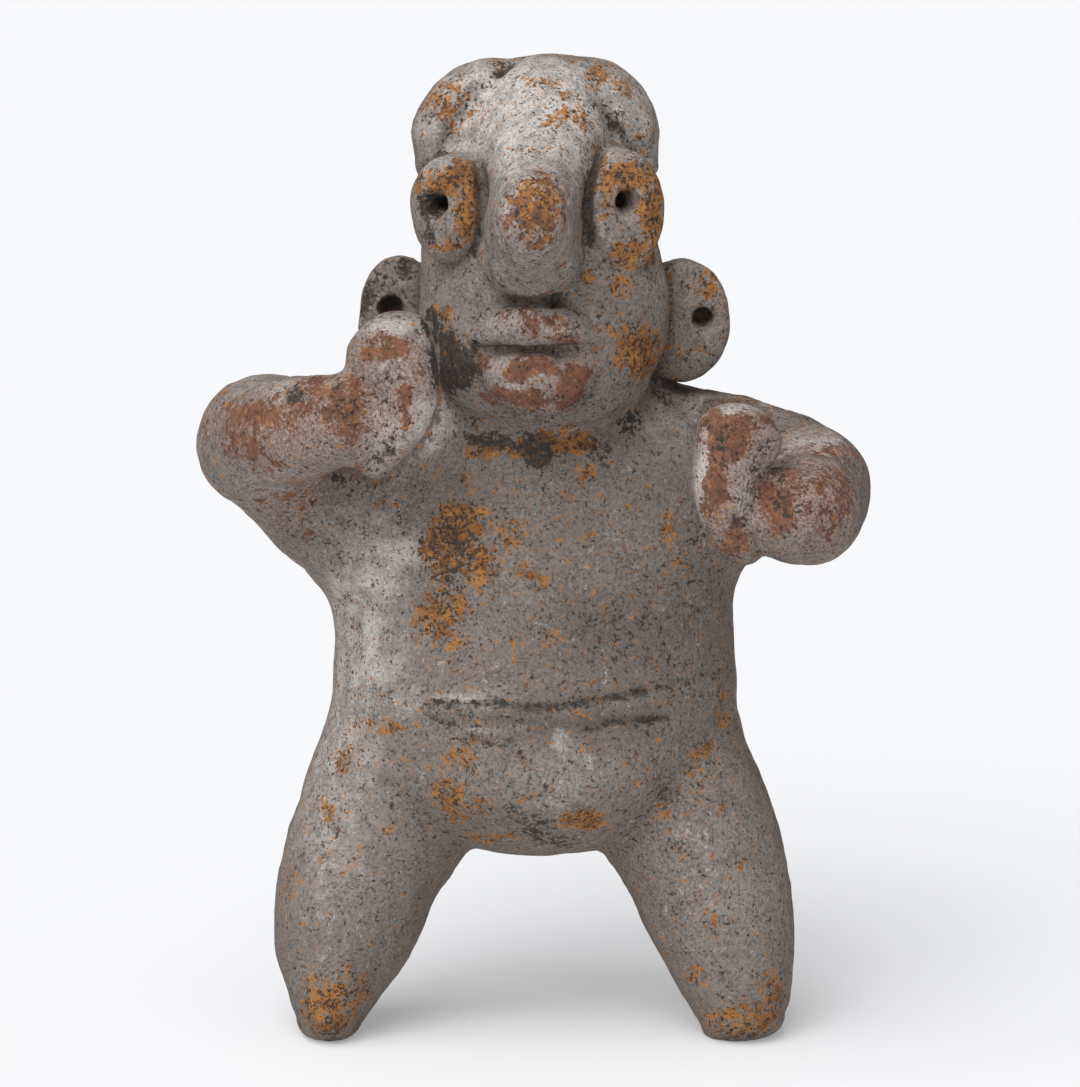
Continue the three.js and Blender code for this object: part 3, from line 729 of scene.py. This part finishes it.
def clay_figure():
    """The dressed figure, and the shift in metres that brings it from the sculptor's frame into its box."""
    points, quads, normal, hollow = smooth_form()
    pixel, away = photo_place(points)
    seen = seen_share(pixel, away, normal)
    wander = stray(points, STROKE_STRAY, STROKE_STRAY_SIZE, 15)
    strokes = seen * stroke_depths(pixel + wander) * (0.95 + 0.3 * cloud(points, 11, 9))
    layers = stains(points, pixel, seen, strokes)
    # Strokes count as hollows too, so they take the dirt and painted shade
    layers["hollow"] = np.maximum(hollow, np.clip(strokes / HOLLOW_STROKE, 0, 0.7))
    points += normal * relief(points, strokes)[:, None]
    middle, cad_middle = (points.min(0) + points.max(0)) / 2, np.mean(cad_box, axis=0)
    shift = cad_middle - middle * U
    shift[2] = cad_box[0][2] - points[:, 2].min() * U
    figure = mesh_object("clay_figure", points * U + shift, quads)
    for name, amount in layers.items():
        layer = figure.data.attributes.new(name, "FLOAT", "POINT")
        layer.data.foreach_set("value", amount.astype(np.float32))
    return figure, shift


# The fired clay, from procedural noise in millimetres of the figure's own coordinates

# Darkest and lightest colour of each layer, in linear red, green and blue
SHADES = {
    "crust": ((0.089, 0.069, 0.056), (0.282, 0.238, 0.208)),
    "pink": ((0.115, 0.074, 0.056), (0.395, 0.295, 0.250)),
    "chalk": ((0.370, 0.325, 0.295), (0.670, 0.625, 0.590)),
    "slip": ((0.092, 0.034, 0.019), (0.226, 0.086, 0.045)),
    "soot_and_shade": ((0.022, 0.017, 0.014), (0.085, 0.072, 0.063)),
    "ochre": ((0.225, 0.088, 0.024), (0.450, 0.196, 0.054)),
}
PALE_CRUST = (0.240, 0.208, 0.185)
BROWN_CRUST = (0.170, 0.138, 0.116)
# The darkest crust, also laid as painted shade where the tone mark is below 0
DARK_CRUST_AND_SHADE = (0.085, 0.070, 0.060)
WORN_SLIP = (0.280, 0.145, 0.098)
OCHRE_GRIME = (0.055, 0.034, 0.022)
FLECK = (0.040, 0.030, 0.024)
# Dirt and painted shade for the hollows and strokes
DIRT_AND_SHADE = (0.055, 0.042, 0.034)
SPECK = (0.040, 0.034, 0.030)
PORE = (0.040, 0.032, 0.027)
BUMP_METRES = 0.0005


def node(tree, kind, inputs=None, **settings):
    """A new node with its settings, and each named input linked to a socket or set to a value."""
    made = tree.nodes.new(kind)
    for name, value in settings.items():
        setattr(made, name, value)
    for name, value in (inputs or {}).items():
        if isinstance(value, bpy.types.NodeSocket):
            tree.links.new(value, made.inputs[name])
        else:
            made.inputs[name].default_value = value
    return made


def maths(tree, operation, *values, clamp=False):
    """The result of one sum on sockets or numbers."""
    made = node(tree, "ShaderNodeMath", dict(enumerate(values)), operation=operation, use_clamp=clamp)
    return made.outputs[0]


def mix_colour(tree, share, under, over):
    """The colour over on the colour under by a share. Inputs 0, 6 and 7 take the share and the colours."""
    made = node(tree, "ShaderNodeMix", data_type="RGBA", clamp_factor=True)
    for place, value in (0, share), (6, under), (7, over):
        if isinstance(value, bpy.types.NodeSocket):
            tree.links.new(value, made.inputs[place])
        else:
            made.inputs[place].default_value = value if place == 0 else (*value, 1)
    return made.outputs[2]


def step_up(tree, value, low, high):
    """0 below low, 1 above high and smooth between."""
    made = node(tree, "ShaderNodeMapRange", {"Value": value, "From Min": low, "From Max": high},
                interpolation_type="SMOOTHSTEP")
    return made.outputs["Result"]


def new_group(name, inputs, outputs):
    """An empty node group with its inputs, each a label, a kind and a starting value, and its outputs."""
    group = bpy.data.node_groups.new(name, "ShaderNodeTree")
    for label, kind, default in inputs:
        socket = group.interface.new_socket(label, in_out="INPUT", socket_type=kind)
        if default is not None:
            socket.default_value = default
    for label in outputs:
        group.interface.new_socket(label, in_out="OUTPUT", socket_type="NodeSocketFloat")
    return group, group.nodes.new("NodeGroupInput"), group.nodes.new("NodeGroupOutput")


def noise(tree, place, size, detail=3.0, roughness=0.55):
    """Blender's noise with features about size millimetres across, from 0 to 1."""
    made = node(tree, "ShaderNodeTexNoise", {"Vector": place, "Detail": detail, "Roughness": roughness})
    if isinstance(size, bpy.types.NodeSocket):
        tree.links.new(maths(tree, "DIVIDE", 1.0, size), made.inputs["Scale"])
    else:
        made.inputs["Scale"].default_value = 1 / size
    return made.outputs["Fac"]


def broken_patch_group():
    """Where a worn layer still shows: its amount plus coarse and fine noise, cut off around a half."""
    group, given, made = new_group("broken_patch", [
        ("Place", "NodeSocketVector", None),
        ("Amount", "NodeSocketFloat", 0.0),
        ("Size", "NodeSocketFloat", 1.0),
        ("Breakup", "NodeSocketFloat", 1.0)], ["Mask"])
    place, size = given.outputs["Place"], given.outputs["Size"]
    coarse = maths(group, "SUBTRACT", noise(group, place, size, detail=5.0, roughness=0.7), 0.5)
    fine = maths(group, "SUBTRACT", noise(group, place, 0.45, detail=3.0, roughness=0.7), 0.5)
    spread = maths(group, "MULTIPLY", coarse, maths(group, "MULTIPLY", given.outputs["Breakup"], 3.0))
    ragged = maths(group, "ADD", spread, maths(group, "MULTIPLY", fine, 2.4))
    amount = maths(group, "ADD", given.outputs["Amount"], ragged)
    group.links.new(step_up(group, amount, 0.42, 0.78), made.inputs["Mask"])
    return group


def pores_group():
    """Round pores, one to a cell: where the distance to the cell's point is below its own radius."""
    group, given, made = new_group("pores", [
        ("Place", "NodeSocketVector", None),
        ("Cell", "NodeSocketFloat", 1.0),
        ("Share", "NodeSocketFloat", 0.5)], ["Mask"])
    cells = node(group, "ShaderNodeTexVoronoi", {"Vector": given.outputs["Place"]}, feature="F1")
    group.links.new(maths(group, "DIVIDE", 1.0, given.outputs["Cell"]), cells.inputs["Scale"])
    parts = node(group, "ShaderNodeSeparateColor", {"Color": cells.outputs["Color"]})
    unpored = maths(group, "SUBTRACT", 1.0, given.outputs["Share"])
    radius = maths(group, "SUBTRACT", parts.outputs[0], unpored)
    inside = maths(group, "SUBTRACT", maths(group, "MULTIPLY", radius, 0.6), cells.outputs["Distance"])
    group.links.new(step_up(group, inside, 0.0, 0.08), made.inputs["Mask"])
    return group


def fired_clay():
    """Crust with its pink and pale parts and its painted light and shade, then chalk, slip, soot with painted
    shade and ochre laid on it in turn, then dirt and painted shade in the hollows.
    """
    material = bpy.data.materials.new("fired_clay")
    material.use_nodes = True
    tree = material.node_tree
    surface = tree.nodes["Principled BSDF"]
    where = node(tree, "ShaderNodeTexCoord").outputs["Object"]
    scale = {0: where, 1: (1000, 1000, 1000)}
    place = node(tree, "ShaderNodeVectorMath", scale, operation="MULTIPLY").outputs[0]
    patch, pores = broken_patch_group(), pores_group()

    def amount(name):
        """A layer's amount as the mesh holds it."""
        return node(tree, "ShaderNodeAttribute", attribute_name=name).outputs["Fac"]

    def worn(name, size, breakup, gain=1.0):
        """Where a layer still shows, in flakes about size millimetres across."""
        value = maths(tree, "MULTIPLY", amount(name), gain)
        made = node(tree, "ShaderNodeGroup", node_tree=patch)
        tree.links.new(place, made.inputs["Place"])
        tree.links.new(value, made.inputs["Amount"])
        made.inputs["Size"].default_value = size
        made.inputs["Breakup"].default_value = breakup
        return made.outputs["Mask"]

    def pocked(cell, share):
        """Pores in a share of cells about cell millimetres across."""
        made = node(tree, "ShaderNodeGroup", node_tree=pores)
        tree.links.new(place, made.inputs["Place"])
        made.inputs["Cell"].default_value = cell
        made.inputs["Share"].default_value = share
        return made.outputs["Mask"]

    def lay(under, over, mask, strength):
        """A colour laid on another through a mask, at most at the strength."""
        return mix_colour(tree, maths(tree, "MULTIPLY", mask, strength), under, over)

    grain = noise(tree, place, size=0.42, detail=4.0, roughness=0.8)
    mottle = noise(tree, place, size=2.2, detail=4.0, roughness=0.6)
    broad = noise(tree, place, size=14.0, detail=2.0)
    fine = step_up(tree, grain, 0.32, 0.66)
    soft = step_up(tree, mottle, 0.35, 0.68)

    crust = mix_colour(tree, fine, *SHADES["crust"])
    crust = lay(crust, PALE_CRUST, soft, 0.40)
    crust = lay(crust, BROWN_CRUST, step_up(tree, broad, 0.4, 0.7), 0.40)
    colour = mix_colour(tree, amount("pink"), crust, mix_colour(tree, fine, *SHADES["pink"]))

    chalk = mix_colour(tree, fine, *SHADES["chalk"])
    # Painted light and shade, with the crust's own tone: lighter towards chalk above 0, darker towards dark
    # crust below 0
    lighter = maths(tree, "MULTIPLY", amount("tone_and_painted_light"), maths(tree, "ADD", soft, 0.5))
    colour = mix_colour(tree, lighter, colour, chalk)
    colour = lay(colour, DARK_CRUST_AND_SHADE, amount("tone_and_painted_light"), -1.0)
    colour = lay(colour, chalk, worn("chalk", size=1.4, breakup=1.3), 0.45)

    slip = mix_colour(tree, soft, *SHADES["slip"])
    slip = lay(slip, WORN_SLIP, fine, 0.40)
    colour = lay(colour, slip, worn("slip", size=2.0, breakup=1.3), 0.92)

    # Soot stains with their painted shade, laid under the ochre and again over it
    black = mix_colour(tree, fine, *SHADES["soot_and_shade"])
    soot_and_shade = worn("soot_and_shade", size=1.0, breakup=1.2)
    colour = lay(colour, black, soot_and_shade, 0.93)

    ochre = mix_colour(tree, soft, *SHADES["ochre"])
    ochre = lay(ochre, OCHRE_GRIME, step_up(tree, grain, 0.50, 0.34), 0.70)
    colour = lay(colour, ochre, worn("ochre", size=1.1, breakup=1.7), 0.95)
    colour = lay(colour, FLECK, worn("ochre", size=0.9, breakup=1.2, gain=0.38), 0.9)
    colour = lay(colour, black, soot_and_shade, 0.50)

    # Dirt and painted shade in the hollows and strokes, less on the pink parts
    less_on_pink = maths(tree, "MULTIPLY", amount("pink"), 0.6)
    dirt_and_shade_reach = maths(tree, "SUBTRACT", 0.75, less_on_pink, clamp=True)
    dirt_and_shade = maths(tree, "MULTIPLY", step_up(tree, amount("hollow"), 0.20, 0.95), dirt_and_shade_reach)
    colour = mix_colour(tree, dirt_and_shade, colour, DIRT_AND_SHADE)
    specks, holes = pocked(1.1, 0.35), pocked(2.6, 0.22)
    colour = lay(colour, SPECK, specks, 0.75)
    colour = lay(colour, PORE, holes, 0.8)
    tree.links.new(colour, surface.inputs["Base Color"])

    height = maths(tree, "ADD", maths(tree, "MULTIPLY", grain, 0.6), maths(tree, "MULTIPLY", mottle, 0.5))
    height = maths(tree, "SUBTRACT", height, maths(tree, "MULTIPLY", holes, 0.8))
    height = maths(tree, "SUBTRACT", height, maths(tree, "MULTIPLY", specks, 0.3))
    bump = node(tree, "ShaderNodeBump", {"Height": height, "Strength": 0.7, "Distance": BUMP_METRES})
    tree.links.new(bump.outputs["Normal"], surface.inputs["Normal"])
    surface.inputs["Roughness"].default_value = 0.93
    surface.inputs["Specular IOR Level"].default_value = 0.2
    return material


# The studio

def camera(shift):
    """The photograph's camera. Its sensor spans the frame's longer side, which is the height."""
    data = bpy.data.cameras.new("camera")
    data.sensor_width = SENSOR
    data.lens = PIXELS_PER_TAN / PHOTO_TALL * SENSOR
    data.clip_end = 50
    thing = bpy.data.objects.new("camera", data)
    bpy.context.scene.collection.objects.link(thing)
    thing.location = (AIM - SIGHT * CAMERA_AWAY) * U + shift
    thing.rotation_euler = (math.pi / 2 - CAMERA_RISE, 0, 0)
    bpy.context.scene.camera = thing


def floor():
    """A sheet of white paper that glows a little by itself, as if lit from below too."""
    bpy.ops.mesh.primitive_plane_add(size=40)
    thing = bpy.context.object
    thing.name = "floor"
    paper = bpy.data.materials.new("white_floor")
    paper.use_nodes = True
    surface = paper.node_tree.nodes["Principled BSDF"]
    surface.inputs["Base Color"].default_value = (0.65, 0.655, 0.67, 1)
    surface.inputs["Emission Color"].default_value = (1.0, 1.0, 1.0, 1)
    surface.inputs["Emission Strength"].default_value = 0.26
    surface.inputs["Roughness"].default_value = 0.8
    surface.inputs["Specular IOR Level"].default_value = 0.1
    thing.data.materials.append(paper)


def sun(name, towards, strength, angle):
    """A far white light, as wide as the angle in degrees, that shines towards a direction."""
    data = bpy.data.lights.new(name, "SUN")
    data.energy, data.angle = strength, math.radians(angle)
    thing = bpy.data.objects.new(name, data)
    bpy.context.scene.collection.objects.link(thing)
    x, y, z = towards
    thing.rotation_euler = (math.atan2(math.hypot(x, y), -z), 0, math.atan2(-x, y))


def lights():
    """A pale sky, one broad light from above and one from in front."""
    world = bpy.data.worlds.new("studio")
    bpy.context.scene.world = world
    world.use_nodes = True
    sky = world.node_tree.nodes["Background"]
    sky.inputs["Color"].default_value = (0.95, 0.97, 1.0, 1)
    sky.inputs["Strength"].default_value = 0.26
    sun("overhead", (0.30, 0.40, -0.87), 1.9, 60)
    sun("front", (0.26, 0.75, -0.68), 1.4, 40)


figure, shift = clay_figure()
figure.data.materials.append(fired_clay())
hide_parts("whistle_figure")
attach(figure, "root")
bpy.context.scene.view_settings.view_transform = "Standard"
camera(shift)
floor()
lights()
